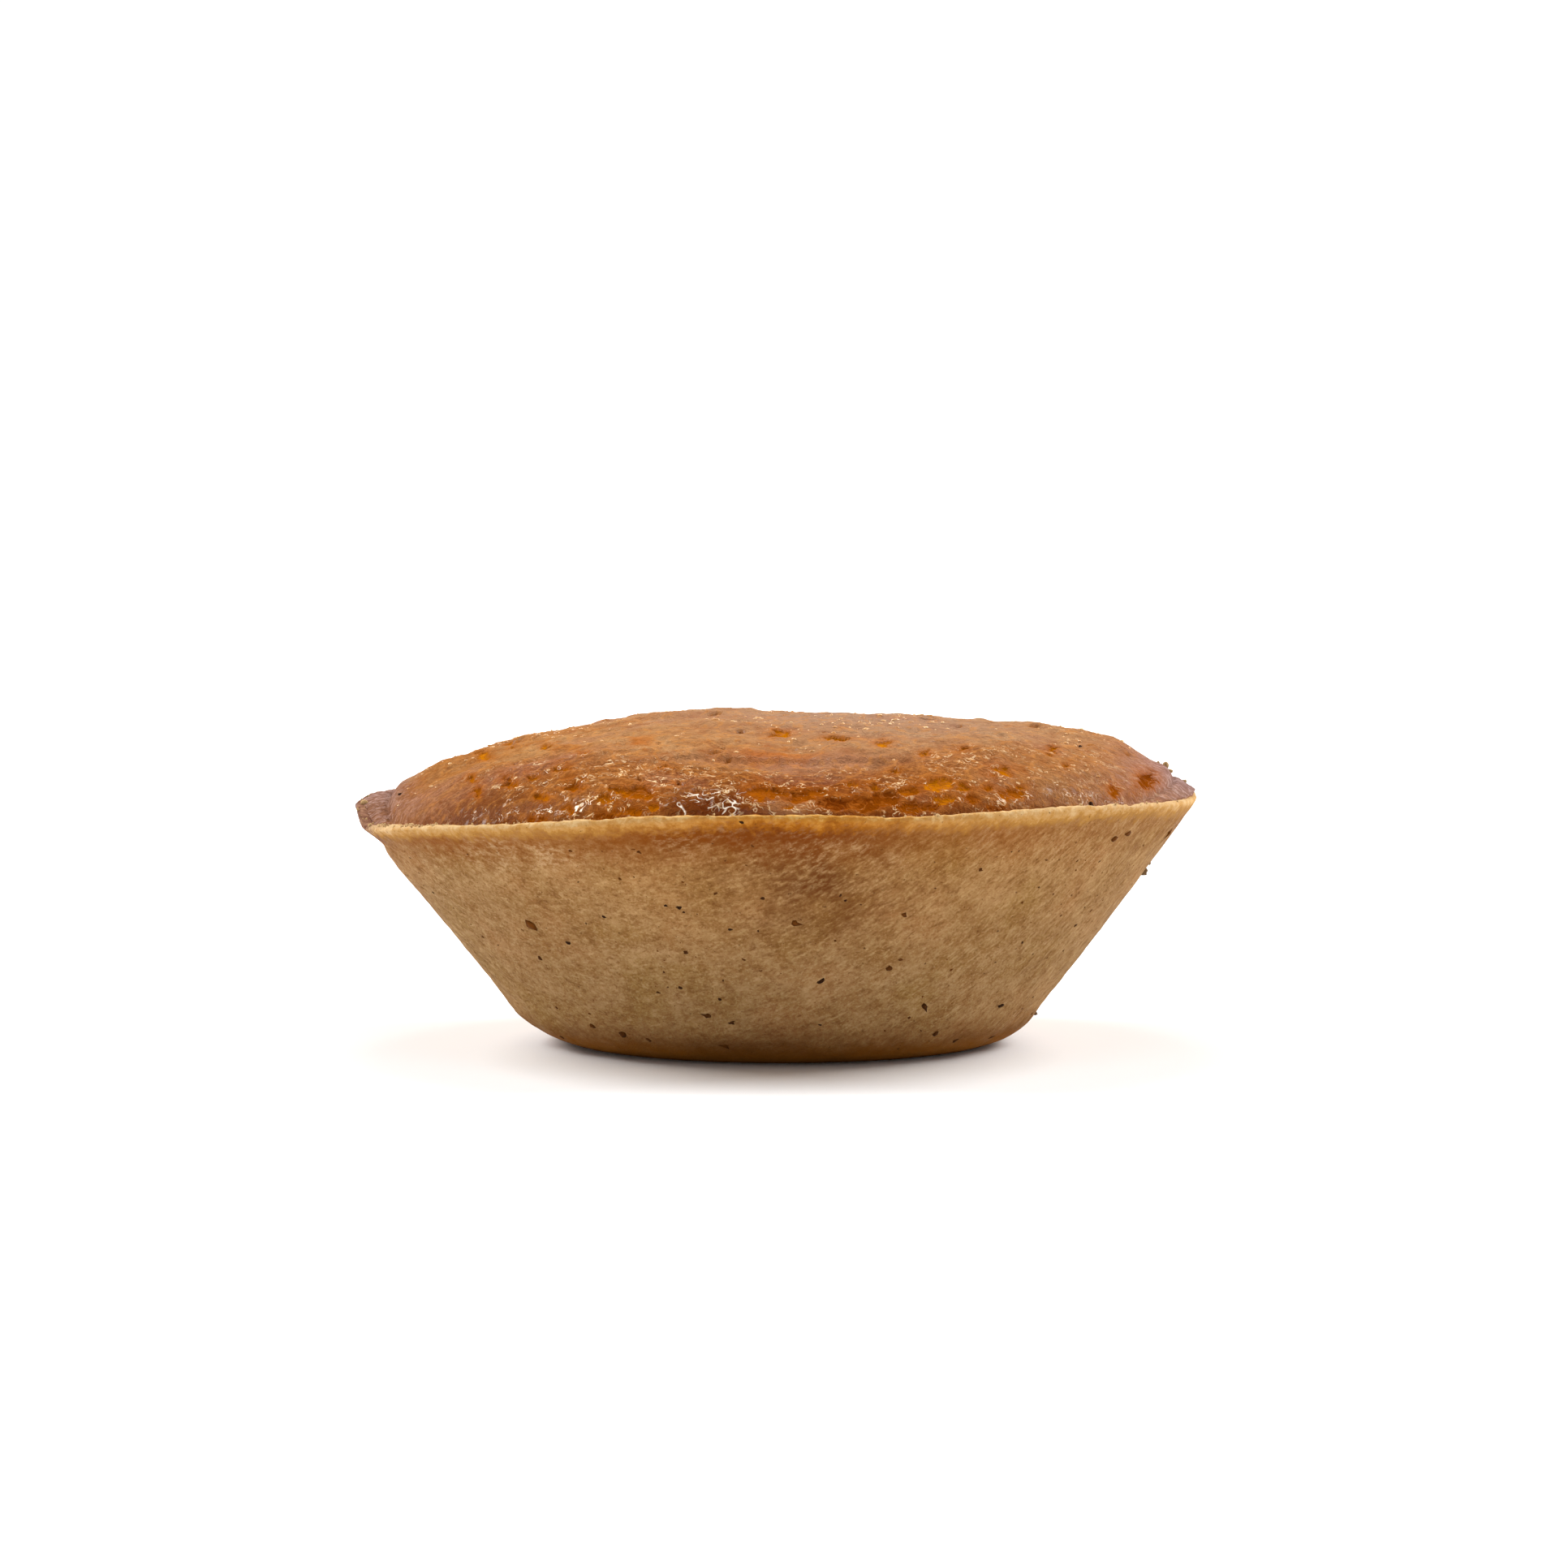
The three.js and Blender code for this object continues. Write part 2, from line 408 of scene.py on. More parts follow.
def of_case(grid):
    """The case's grid of numbers or places in the order of its vertices, with one of each end row."""
    return np.concatenate([grid[0, :1], grid[1:-1].reshape(-1, *grid.shape[2:]), grid[-1, :1]])


pastry = mesh_piece("pastry", of_case(case_places), *turned_faces(len(section_r), CASE_COLUMNS))


def lay_out(piece, *flat):
    """Gives a piece its flat layout for painting: a place from 0 to 1 both ways for each face's corner."""
    layer = piece.data.uv_layers.new(name="OFBake")
    layer.data.foreach_set("uv", np.concatenate([part.ravel() for part in flat]).astype(np.float32))


def strip_places(row, column, rows_low, rows_high):
    """Places in the strips that the wall is cut into: across by the column, up by the way along the section
    between the two rows, each strip above the one before."""
    length = np.concatenate([[0], np.cumsum(np.hypot(np.diff(section_r), np.diff(section_z)))])
    share = (length[row] - length[rows_low]) / (length[rows_high] - length[rows_low])
    wide = CASE_COLUMNS // MAP_STRIPS
    strip = column[..., :1] // wide
    across = MAP_MARGIN + (1 - 2 * MAP_MARGIN) * (column - strip * wide) / wide
    up = (strip + share * (1 - 2 * MAP_MARGIN) + MAP_MARGIN) * MAP_WALL_SHARE
    return bundle(across, up)


def case_layout():
    """The case's flat layout: the wall from foot to lip in three strips, the foot as a disc seen from below,
    and the inside, which the filling hides, as one narrow strip."""
    rows = len(section_r)
    foot_row = int(np.argmin(np.abs(section_r[:10] - FOOT_FLAT)))
    lip_row = int(np.argmax(section_out == 0))
    ring = np.arange(CASE_COLUMNS)
    quad_column = bundle(ring, ring + 1, ring + 1, ring)
    quad_row = np.arange(1, rows - 2)[:, None, None] + np.array([0, 0, 1, 1])
    quad_row, quad_column = np.broadcast_arrays(quad_row, quad_column[None])
    top = MAP_STRIPS * MAP_WALL_SHARE
    room = 1 - top - 2 * MAP_MARGIN

    def foot_places(row, column):
        """Places in the foot's disc: out by the row's radius, and round by the column."""
        turn = 2 * np.pi * column / CASE_COLUMNS
        out = room / 2 * section_r[row] / section_r[foot_row]
        middle = MAP_MARGIN + room / 2
        return bundle(middle + out * np.cos(turn), top + middle - out * np.sin(turn))

    def inner_places(row, column):
        """Places in the inside's strip: across by the column, and up by the row."""
        across = room + 4 * MAP_MARGIN + (1 - room - 5 * MAP_MARGIN) * column / CASE_COLUMNS
        up = top + MAP_MARGIN + room * (row - lip_row) / (rows - 1 - lip_row)
        return bundle(across, up)

    wall = strip_places(np.clip(quad_row, foot_row, lip_row), quad_column, foot_row, lip_row)
    quads = np.where(quad_row[..., :1, None] < foot_row, foot_places(quad_row, quad_column), wall)
    quads = np.where(quad_row[..., :1, None] >= lip_row, inner_places(quad_row, quad_column), quads)
    first = foot_places(np.array([0, 1, 1]), bundle(ring, ring + 1, ring))
    last_rows = np.array([rows - 1, rows - 2, rows - 2])
    last = inner_places(last_rows, bundle(ring + 0.5, ring, ring + 1))
    return first, quads, last


lay_out(pastry, *case_layout())


def store(piece, in_order, **grids):
    """Keeps a number for each vertex under each name, for a material to read, once put in order."""
    for name, grid in grids.items():
        attribute = piece.data.attributes.new(name, "FLOAT", "POINT")
        attribute.data.foreach_set("value", np.asarray(in_order(grid), np.float32))


def spots(places, *rows):
    """A sum of soft spots, each given by its strength, its middle and its reach: the strength in the middle,
    falling as exp(-d^2) with d the distance in shares of the reach."""
    return sum(strength * bell(places, middle, reach).prod(axis=-1)
               for strength, middle, reach in rows)


below_rim = RIM_HEIGHT - tin[..., 2]
front_patch = spots(tin, (1.0, (3.0, -30, 16.0), (7.5, 12, 5.0)), (0.6, (-8, -34, 19.5), (7, 8, 2.2)))
far_patches = ramp(0.25, 0.8, lumps(tin, 11, 10)) * ramp(-12, 4, tin[..., 1])
toast = front_patch * (0.8 + 0.5 * lumps(tin, 2.5, 11)) + 0.6 * far_patches
scorch = 0.65 + 0.35 * lumps(tin, 9, 9) + spots(tin, (0.38, (-4, -36, 20), (13, 12, 9)))
scorch = scorch * (1 - 0.6 * ramp(13, 26, tin[..., 0]))
scurf = 0.6 * ramp(7, 1.5, below_rim) * (0.5 + 0.5 * lumps(tin, 5, 15))
scurf = scurf + spots(tin, (1.6, (-21, -27, 18.2), (6, 8, 0.9)), (0.25, (3, -30, 16), (7, 12, 4)))
film_over = np.exp(-((turn_from(case_angle, 180) / np.radians(24)) ** 4)) * ramp(2.6, 1.6, below_rim)
store(pastry, of_case, below_rim=below_rim, golden=spots(tin, (1.0, (2, -36, 21), (13, 9, 6))),
      scorch=np.clip(scorch, 0, 1), toast=np.clip(toast, 0, 1), scurf=np.clip(scurf, 0, 1),
      film_over=film_over, torn=torn_left + 0.7 * torn_right)


def pastry_finish():
    """Dry baked dough: tan clouds with fine strokes and pale scurf, golden at the torn rim, scorched below
    it, toasted in patches, with pores. Its warm tint is thinner at both sides, a painted sheen, and it
    darkens towards the foot in painted shade, with a golden-brown band along the bottom edge."""
    crust = Finish("baked_dough")
    x, y, z = crust.node("SeparateXYZ", {"Vector": crust.place}).outputs
    aside = crust.maths("SUBTRACT", x, STROKE_MIDDLE)
    bowed = crust.maths("SUBTRACT", z, crust.times(aside, aside, STROKE_BOW))
    flat_x = crust.maths("DIVIDE", x, STROKE_STRETCH)
    flat_y = crust.maths("DIVIDE", y, STROKE_STRETCH)
    along_strokes = crust.node("CombineXYZ", {"X": flat_x, "Y": flat_y, "Z": bowed}).outputs["Vector"]
    strokes = crust.noise(0.34, 4.0, 0.65, along_strokes)
    mottle = crust.noise(3.4, 4.0, 0.6, warp=0.6)
    cloud = crust.noise(1.0, 4.0, 0.6, warp=0.4)
    grain = crust.noise(0.22, 2.0, 0.7)
    hue = crust.noise(7.0, 3.0, 0.55)
    pores = crust.noise(0.25, 1.0, 0.5)
    crust.colour = crust.blend(crust.spread(mottle, 0.34, 0.68), (143, 106, 63), (170, 136, 96))
    crust.layers(
        ((164, 118, 76), hue, 0.52, 0.70, 0.50), ((148, 116, 64), hue, 0.46, 0.30, 0.50),
        ((186, 152, 108), cloud, 0.52, 0.70, 0.55), ((122, 84, 42), cloud, 0.47, 0.30, 0.55),
        ((192, 160, 116), strokes, 0.54, 0.68, 0.62), ((110, 72, 34), strokes, 0.46, 0.32, 0.62),
        ((198, 166, 122), grain, 0.54, 0.70, 0.45), ((104, 66, 30), grain, 0.46, 0.30, 0.45))
    # A warm tint on the upper wall, laid thinner towards both sides: the paler sides are a painted sheen.
    warm_left = crust.spread(x, -28, -8, 0.25, 1.0)
    warm_right = crust.spread(x, 8, 28, 1.0, 0.55)
    crust.lay((255, 236, 205), crust.spread(z, 7, 20), warm_left, warm_right, kind="MULTIPLY")
    crust.lay((96, 52, 18), "toast", crust.spread(strokes, 0.68, 0.40, 0.45, 0.95))
    broad_wave = crust.spread(cloud, 0.2, 0.8, -0.7, 0.7)
    fine_wave = crust.spread(grain, 0.2, 0.8, -0.25, 0.25)
    below = crust.maths("ADD", "below_rim", crust.maths("ADD", broad_wave, fine_wave))
    scorched = crust.blend("golden", (134, 72, 14), (111, 53, 8))
    crust.lay(scorched, "scorch", crust.spread(below, 4.6, 1.7, 0.0, 0.95))
    crust.layers(
        (crust.blend("golden", (184, 134, 66), (162, 96, 20)), below, 1.5, 0.6, 1.0),
        (crust.blend("golden", (200, 160, 106), (192, 134, 56)), below, 0.8, 0.1, 0.9),
        (crust.blend("golden", (214, 182, 136), (208, 168, 100)), below, 0.25, -0.15, 0.8))
    crust.lay((210, 176, 134), "torn", crust.spread(below, 0.7, 0.2, 0.0, 0.7))
    syrup = crust.blend(crust.spread(strokes, 0.35, 0.65), (92, 52, 40), (140, 98, 80))
    film_over = crust.maths("ADD", "film_over", crust.spread(cloud, 0.2, 0.8, -0.3, 0.3))
    crust.layers((syrup, film_over, 0.35, 0.65, 0.95))
    # Darker towards the bottom: painted shade.
    crust.lay((253, 250, 243), crust.spread(z, 10, 3), kind="MULTIPLY")
    # Darker still at the foot: painted shade. The last tint is a golden-brown band along the bottom edge.
    under_wave = crust.spread(mottle, 0.4, 0.6, -0.14, 0.14)
    under = crust.maths("ADD", crust.spread(z, 4.2, 0.5), under_wave)
    strip = crust.maths("ADD", z, crust.spread(cloud, 0.2, 0.8, -0.25, 0.25))
    crust.layers(((110, 62, 10), under, 0.15, 0.95, 0.92), ((146, 92, 26), strip, 1.9, 0.7, 0.85))
    flakes = crust.times(crust.spread(strokes, 0.47, 0.60), crust.spread(grain, 0.40, 0.58, 0.35, 1.0))
    crust.lay((204, 170, 128), flakes, crust.times("scurf", crust.spread(mottle, 0.40, 0.60, 0.15, 0.65)))
    crust.lay((247, 245, 240), 1.0, kind="MULTIPLY")
    crust.layers(((66, 36, 14), pores, 0.28, 0.20, 0.7))
    height = crust.maths("ADD", crust.times(strokes, 0.5), crust.times(grain, 0.5))
    crust.set(Base_Color=crust.colour, Roughness=crust.spread(mottle, 0.3, 0.7, 0.60, 0.85),
              Normal=crust.bump(height, 0.14), Specular_IOR_Level=0.03)
    return crust.owner


pastry.data.materials.append(pastry_finish())
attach(pastry, "root")
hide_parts("pastry_case")

# Bean filling
# A batter of mashed white beans, almonds, eggs and syrup, poured in to the rim. In the oven it rose into a
# dome, its skin browned and wrinkled, and bubbles broke through as amber pits, most of them near the front.
# At both ends its syrup ran out over the rim as a mauve film.
FILL_SIDE = 301
FRONT_DETAIL = 0.25
HIDDEN_SHARE = 0.05
EDGE_BELOW_RIM = 0.9
EDGE_RADIUS = 34.1
FILM_REACH = 1.75
FILM_LIFT = 1.05
FILM_TIP = 0.35
FILM_DROOP = 0.55
FILM_RAGGED = 0.12
DOME_RADIUS = 33.9
DOME_LEFT_PULL = 1.0
DOME_RISE = 7.7
DOME_FULLNESS = 2.8
DOME_SHOULDER = 0.56
LEDGE_PLACE = -22.6
LEDGE_DROP = 0.4
CAVE_DEPTH = 0.9
FRONT_PIT_DEPTH = 0.5
CREST_HEIGHT = 0.20
PUDDLE_CRINKLE = 0.24
UNDER_ROWS = ((0.975, 0.90), (0.75, 0.50), (0.55, 0.12), (0.30, 0.10))
# Each broken bubble on the front, as the camera sees it: across, up, half width, half height, darkness
FRONT_BUBBLES = (
    (-25.2, 24.5, 0.5, 0.25, 0.1), (-23.0, 25.5, 0.4, 0.2, 0.2), (-26.2, 22.4, 0.35, 0.3, 0.3),
    (-25.7, 21.4, 0.3, 0.4, 0.4), (-23.0, 22.1, 0.5, 0.3, 0.4), (-18.6, 23.3, 0.55, 0.25, 0.2),
    (-20.8, 22.7, 0.4, 0.2, 0.3), (-17.5, 22.0, 0.65, 0.42, 0.5), (-20.2, 21.1, 0.6, 0.35, 0.4),
    (-18.0, 19.9, 0.42, 0.42, 0.5), (-20.7, 18.9, 0.8, 0.42, 0.6), (-12.0, 21.5, 1.25, 0.5, 0.5),
    (-13.8, 21.6, 0.6, 0.3, 0.4), (-14.6, 20.7, 0.65, 0.35, 0.4), (-13.0, 19.8, 1.2, 0.35, 0.5),
    (-10.7, 20.3, 0.5, 0.32, 0.4), (-14.8, 19.2, 0.7, 0.48, 0.7), (-8.3, 22.4, 0.3, 0.2, 0.4),
    (-11.7, 25.8, 0.55, 0.25, 0.0), (-16.8, 24.6, 0.35, 0.18, 0.2), (-19.6, 25.3, 0.55, 0.2, 0.1),
    (-9.7, 23.9, 0.4, 0.2, 0.3), (0.0, 24.6, 2.1, 0.25, 0.0), (0.2, 26.4, 0.85, 0.2, 0.2),
    (-1.6, 21.6, 0.8, 0.75, 0.6), (0.0, 21.6, 0.8, 0.4, 0.6), (2.2, 21.2, 1.0, 0.6, 0.7),
    (3.6, 21.6, 0.8, 0.42, 0.6), (4.9, 20.5, 1.4, 0.55, 0.9), (7.2, 20.5, 1.5, 0.6, 0.8),
    (6.5, 22.5, 0.5, 0.32, 0.3), (8.3, 22.1, 0.42, 0.42, 0.3), (0.9, 20.2, 0.42, 0.2, 0.4),
    (5.3, 25.9, 0.95, 0.18, 0.2), (9.2, 25.6, 0.6, 0.28, 0.1), (12.8, 24.8, 0.42, 0.25, 0.2),
    (16.2, 25.1, 0.5, 0.2, 0.3), (13.8, 22.1, 1.1, 0.45, 0.2), (11.5, 21.6, 0.85, 0.42, 0.5),
    (16.1, 21.9, 0.7, 0.28, 0.3), (14.5, 20.8, 0.85, 0.35, 0.3), (19.3, 23.2, 0.9, 0.3, 0.3),
    (21.0, 21.7, 0.4, 0.27, 0.3), (20.0, 21.1, 0.9, 0.32, 0.5), (18.2, 21.8, 0.42, 0.2, 0.5),
    (10.1, 23.5, 0.42, 0.25, 0.3), (9.4, 21.0, 1.2, 0.55, 0.8), (12.1, 20.2, 1.7, 0.4, 0.7),
    (16.8, 20.9, 0.55, 0.35, 0.7), (18.9, 19.9, 0.6, 0.27, 0.9), (23.6, 24.9, 0.3, 0.2, 0.2),
    (31.8, 22.4, 0.8, 0.7, 0.8), (29.0, 21.6, 0.42, 0.45, 0.7), (24.9, 23.7, 0.4, 0.25, 0.3))
# Each swell or sag of the dome: its height, its place on the plan and its reach
DOME_SWELLS = ((-1.7, (1, -25), 11), (-0.6, (-21, -17), 7), (-0.5, (-27, 2), 7), (-0.5, (-18, 4), 7),
               (0.35, (-7, 5), 9), (-0.3, (5, 9), 6), (1.2, (29, 1), 7))


def round_grid(side, towards):
    """Places on a unit disc from a square grid, as complex numbers. Each square ring becomes a circle (its
    radius the larger of |a| and |b|, its angle a quarter turn times their ratio). The disc is then slid over
    itself by (p - t) / (1 - t'p), which keeps its outline and draws the grid closer on one side."""
    line = np.linspace(-1, 1, side)
    a, b = np.meshgrid(line, line)
    wide = np.abs(a) >= np.abs(b)
    radius = np.where(wide, a, b)
    ratio = np.divide(np.where(wide, b, a), radius, out=np.zeros_like(a), where=radius != 0)
    turn = np.pi / 4 * ratio
    point = np.where(wide, radius * np.exp(1j * turn), radius * (np.sin(turn) + 1j * np.cos(turn)))
    return (point - towards) / (1 - np.conj(towards) * point)


def dome_height(share):
    """The plain dome's height at a share s of its radius: 1 - s^p, to a power that makes its edge steep."""
    return DOME_RISE * (1 - share**DOME_FULLNESS) ** DOME_SHOULDER


def pits(places, spacing, seed, plenty, sizes):
    """Broken bubbles: in each square of a grid, one pit at a random place, with a random radius between the
    sizes and a random stretch, where a random number is under `plenty`. Returns how far inside a pit each
    place is, 0 at its edge and 1 in the middle by 1 - d^2, and how deep it is there."""
    inside = np.zeros(places.shape[:-1])
    depth = np.zeros(places.shape[:-1])
    for step in np.ndindex(3, 3):
        cell = np.floor(places / spacing).astype(np.int64) + step - 1
        draw = [scrambled(np.insert(cell, 2, kind, axis=-1), seed) / 65535 for kind in range(6)]
        middle = (cell + np.stack(draw[:2], axis=-1)) * spacing
        radius = sizes[0] + (sizes[1] - sizes[0]) * draw[2] ** 1.5
        stretch = 1 + 0.6 * draw[4]
        away = ((places - middle) * (1, 1j)).sum(axis=-1) * np.exp(-1j * np.pi * draw[3])
        away = ((away.real / stretch) ** 2 + (away.imag * stretch**0.5) ** 2) / radius**2
        share = np.where(draw[5] < plenty(middle), np.clip(1 - away, 0, 1), 0)
        inside = np.maximum(inside, share)
        depth = np.maximum(depth, radius * share**0.6)
    return inside, depth


def seen_from_front(places):
    """How far across and up the camera sees each place: where its line of sight crosses the upright plane
    through the middle of the tart."""
    share = CAMERA_PLACE.y / (CAMERA_PLACE.y - places[..., 1:2])
    eye = np.array((CAMERA_PLACE.x, CAMERA_PLACE.z))
    return eye + share * (places[..., ::2] - eye)


def crinkles(places, grain, seed, width=0.35):
    """Crinkled skin from 0 to 1: rounded ridges along the lines where random relief crosses zero, by
    1 - (v / width)^2 of the relief's value v."""
    return np.clip(1 - (lumps(places, grain, seed) / width) ** 2, 0, 1)


def bubbly(here):
    """How many bubbles broke at a place on the plan: most in the band near the front edge."""
    x, y = np.moveaxis(here, -1, 0)
    front = np.clip(0.5 + 0.5 * np.cos(np.arctan2(y, x) + np.radians(98)), 0, 1) ** 1.6
    band = ramp(17, 26, np.hypot(x, y))
    patches = spots(here, (0.35, (-12, 22), (14, 9)), (0.3, (18, 16), (10, 8)),
                    (0.15, (-17, -10), (11, 10)))
    return (0.13 + 0.8 * front * band + patches) * ramp(33, 25, x)


def bubbly_behind(here):
    """The same, without the front, where each bubble has its own place."""
    return bubbly(here) * ramp(-8, 2, here[..., 1])


def small_behind(here):
    """How many small bubbles broke behind the front: a few everywhere, more where large ones did."""
    return 0.02 + 0.7 * bubbly_behind(here)


def cave_rich(here):
    """Where bubbles ran together into caves at the back."""
    return spots(here, (0.45, (-16, 26), (9, 5)), (0.35, (14, 28), (8, 4)))


disc = round_grid(FILL_SIDE, FRONT_DETAIL * 1j)
disc_r = np.minimum(1, np.abs(disc))
fill_angle = np.angle(disc)
left_end = near_angle(fill_angle, 178, 24)
right_end = near_angle(fill_angle, -3, 28)
film_side = np.maximum(left_end, right_end)
fill_r = disc_r * (EDGE_RADIUS + FILM_REACH * film_side + FILM_TIP * left_end**3)
fill_x = fill_r * np.cos(fill_angle)
fill_y = fill_r * np.sin(fill_angle)
flat = bundle(fill_x, fill_y)
dome_share = np.minimum(1, fill_r / (DOME_RADIUS - DOME_LEFT_PULL * left_end))
dome = dome_height(dome_share) + (1 - dome_share**8) * spots(flat, *DOME_SWELLS)
plan = bundle(fill_x, fill_y, dome)
radii = np.linspace(0, RIM_RADIUS, 2000)
slope_rise = np.gradient(dome_height(np.minimum(1, radii / DOME_RADIUS)), radii)
unrolled = np.cumsum(np.sqrt(1 + np.minimum(4, slope_rise**2))) * radii[1]
stretch = np.interp(fill_r, radii[1:], unrolled[1:] / radii[1:])
film = film_side * ramp(-4.8, -0.4, fill_r - EDGE_RADIUS)
skirt = FILM_LIFT * film_side * ramp(-4.0, 1.0, fill_r - EDGE_RADIUS)
for end, fold, fold_place, fold_width in ((right_end, 1.1, 34.1, 1.2), (right_end, 0.45, 30.5, 3.0),
                                          (left_end, 0.5, 33.3, 1.3)):
    skirt = skirt + fold * end * bell(fill_r, fold_place, fold_width)
skirt = skirt - FILM_DROOP * left_end * ramp(0.965, 1.0, disc_r)
inland = 1 - disc_r**14
ledge_line = LEDGE_PLACE + relief(plan, (1.3, 8, 21), (0.4, 2.5, 22))
ledge_span = ramp(14, 8, np.abs(fill_x + 1))
ledge = LEDGE_DROP * ramp(0.45, -0.45, fill_y - ledge_line) * ledge_span
warp_x = relief(plan, (0.55, 1.9, 23), (0.14, 0.6, 31))
warp_y = relief(plan, (0.55, 1.9, 24), (0.14, 0.6, 32))
warped = flat * stretch[..., None] + bundle(warp_x, warp_y)
large_in, large_depth = pits(warped, 2.4, 25, bubbly_behind, (0.5, 1.1))
small_in, small_depth = pits(warped, 1.2, 26, small_behind, (0.22, 0.55))
cave_in, cave_depth = pits(warped, 3.3, 41, cave_rich, (0.9, 1.7))
edge_height = RIM_HEIGHT - EDGE_BELOW_RIM
seen = seen_from_front(baked(fill_angle, fill_r, edge_height + dome + skirt))
in_front = ramp(4, 0, fill_y)
ragged_x = relief(plan, (0.45, 1.3, 43), (0.24, 0.55, 44))
ragged_z = relief(plan, (0.28, 1.3, 45), (0.16, 0.55, 46))
ragged = seen + bundle(ragged_x, ragged_z)
front_in = np.zeros_like(fill_r)
glow = np.zeros_like(fill_r)
# How high each place lies in its front pit, for a painted shadow under the pit's upper edge.
overhang = np.zeros_like(fill_r)
pit_dark = 0.35 + 0.3 * lumps(plan, 5, 47)
for across, up, half_width, half_height, darkness in FRONT_BUBBLES:
    away = (ragged - (across, up)) / (half_width, half_height)
    apart = (away**2).sum(axis=-1)
    inside = np.clip(1 - apart / 1.4, 0, 1) * in_front * ramp(0.0, 0.2, darkness)
    glow = np.maximum(glow, np.exp(-apart / 3) * in_front)
    pit_dark = np.where(inside > front_in, darkness, pit_dark)
    overhang = np.where(inside > front_in, away[..., 1], overhang)
    front_in = np.maximum(front_in, inside)
calm = (1 - film) * inland
front_depth = FRONT_PIT_DEPTH * np.sqrt(front_in) * (0.5 + 0.5 * pit_dark)
cave_depth = np.minimum(cave_depth, CAVE_DEPTH)
far_depth = np.maximum.reduce([0.9 * large_depth, 0.8 * cave_depth, 0.8 * small_depth])
far_large = ramp(0.05, 0.35, np.maximum(large_in, cave_in))
far_pit = np.maximum(far_large, 0.8 * ramp(0.1, 0.5, small_in))
pit = np.maximum(ramp(0.0, 0.2, front_in), far_pit * calm)
puddle = in_front * spots(seen, (1.0, (-5.4, 20.3), (4.4, 1.6)))
frontal = np.clip(bubbly(flat), 0, 1)
crest = 0.6 * crinkles(plan, 1.5, 30) + 0.4 * crinkles(plan, 0.8, 33)
skin = (relief(plan, (0.24, 8, 27), (0.26, 3.4, 28), (0.12, 1.7, 29), (0.06, 0.6, 40))
        + CREST_HEIGHT * crest * (1 - pit) * (0.35 + 0.65 * frontal)
        + PUDDLE_CRINKLE * puddle * crinkles(plan * (1.0, 0.45, 0.45), 0.9, 42, 0.25))
hole_depth = np.maximum(front_depth * inland, far_depth * calm)
ragged_edge = (1 - inland) * film_side * FILM_RAGGED * lumps(plan, 0.9, 34)
fill_relief = inland * (1 - 0.6 * film) * skin - hole_depth - calm * ledge + ragged_edge
fill_top = baked(fill_angle, fill_r, edge_height + dome + skirt + fill_relief)


def border(side):
    """Indices of a square grid's outer vertices, once round."""
    index = np.arange(side * side).reshape(side, side)
    return np.concatenate([index[0, :-1], index[:-1, -1], index[-1, :0:-1], index[:0:-1, 0]])


def filling_faces(side, rings):
    """Corners and counts of the filling: the top's quads, rings of quads from the border down, and a fan
    that closes the bottom."""
    index = np.arange(side * side).reshape(side, side)
    top = bundle(index[:-1, :-1], index[:-1, 1:], index[1:, 1:], index[1:, :-1]).reshape(-1, 4)
    edge = border(side)
    below = side * side + np.arange(rings * len(edge)).reshape(rings, -1)
    loops = np.concatenate([edge[None], below])
    onward = np.roll(loops, -1, axis=1)
    sides = bundle(loops[:-1], loops[1:], onward[1:], onward[:-1]).reshape(-1, 4)
    last = np.full(len(edge), side * side + rings * len(edge))
    fan = bundle(loops[-1], last, onward[-1])
    corners = np.concatenate([top.ravel(), sides.ravel(), fan.ravel()])
    return corners, np.concatenate([np.full(len(top) + len(sides), 4), np.full(len(fan), 3)])


at_border = (grid.ravel()[border(FILL_SIDE)] for grid in (fill_angle, film_side, left_end))
edge_angle, edge_film, edge_tip = at_border
under_edge = baked(edge_angle, EDGE_RADIUS + edge_film * (FILM_REACH - 0.25),
                   edge_height + edge_film * (FILM_LIFT - 0.2) - 0.1 - 0.5 * edge_tip)
under_rows = [baked(edge_angle, wide * EDGE_RADIUS, 0 * edge_angle + high * RIM_HEIGHT)
              for wide, high in UNDER_ROWS]
under_middle = baked(np.zeros(1), np.zeros(1), np.full(1, 0.1 * RIM_HEIGHT))
fill_points = np.concatenate([fill_top.reshape(-1, 3), under_edge, *under_rows, under_middle])
fill_rings = 1 + len(UNDER_ROWS)
filling = mesh_piece("filling", fill_points, *filling_faces(FILL_SIDE, fill_rings))


def filling_layout(side, rings):
    """The filling's flat layout: its top as a square by the grid's two directions, and the hidden sides and
    bottom as a narrow strip below it, across by the way round the border and down ring by ring."""
    line = MAP_MARGIN + (1 - 2 * MAP_MARGIN) * np.arange(side) / (side - 1)
    grid = np.stack(np.meshgrid(line, HIDDEN_SHARE + (1 - HIDDEN_SHARE) * line), axis=-1)
    top = np.stack([grid[:-1, :-1], grid[:-1, 1:], grid[1:, 1:], grid[1:, :-1]], axis=2)
    column = np.arange(4 * (side - 1))[:, None]
    level = HIDDEN_SHARE * (1 - MAP_MARGIN / HIDDEN_SHARE - 0.9 * np.arange(rings + 2) / (rings + 1))
    across = MAP_MARGIN + (1 - 2 * MAP_MARGIN) * (column + (0, 0, 1, 1)) / len(column)
    down = bundle(level[:-2], level[1:-1], level[1:-1], level[:-2])
    sides = bundle(across[None], down[:, None])
    fan_across = MAP_MARGIN + (1 - 2 * MAP_MARGIN) * (column + (0, 0.5, 1)) / len(column)
    return top, sides, bundle(fan_across, level[[-2, -1, -2]])


lay_out(filling, *filling_layout(FILL_SIDE, fill_rings))


def of_filling(grid):
    """The top's grid of numbers in the order of the filling's vertices, with 0 on its hidden sides."""
    return np.concatenate([grid.ravel(), np.zeros(len(fill_points) - grid.size)])


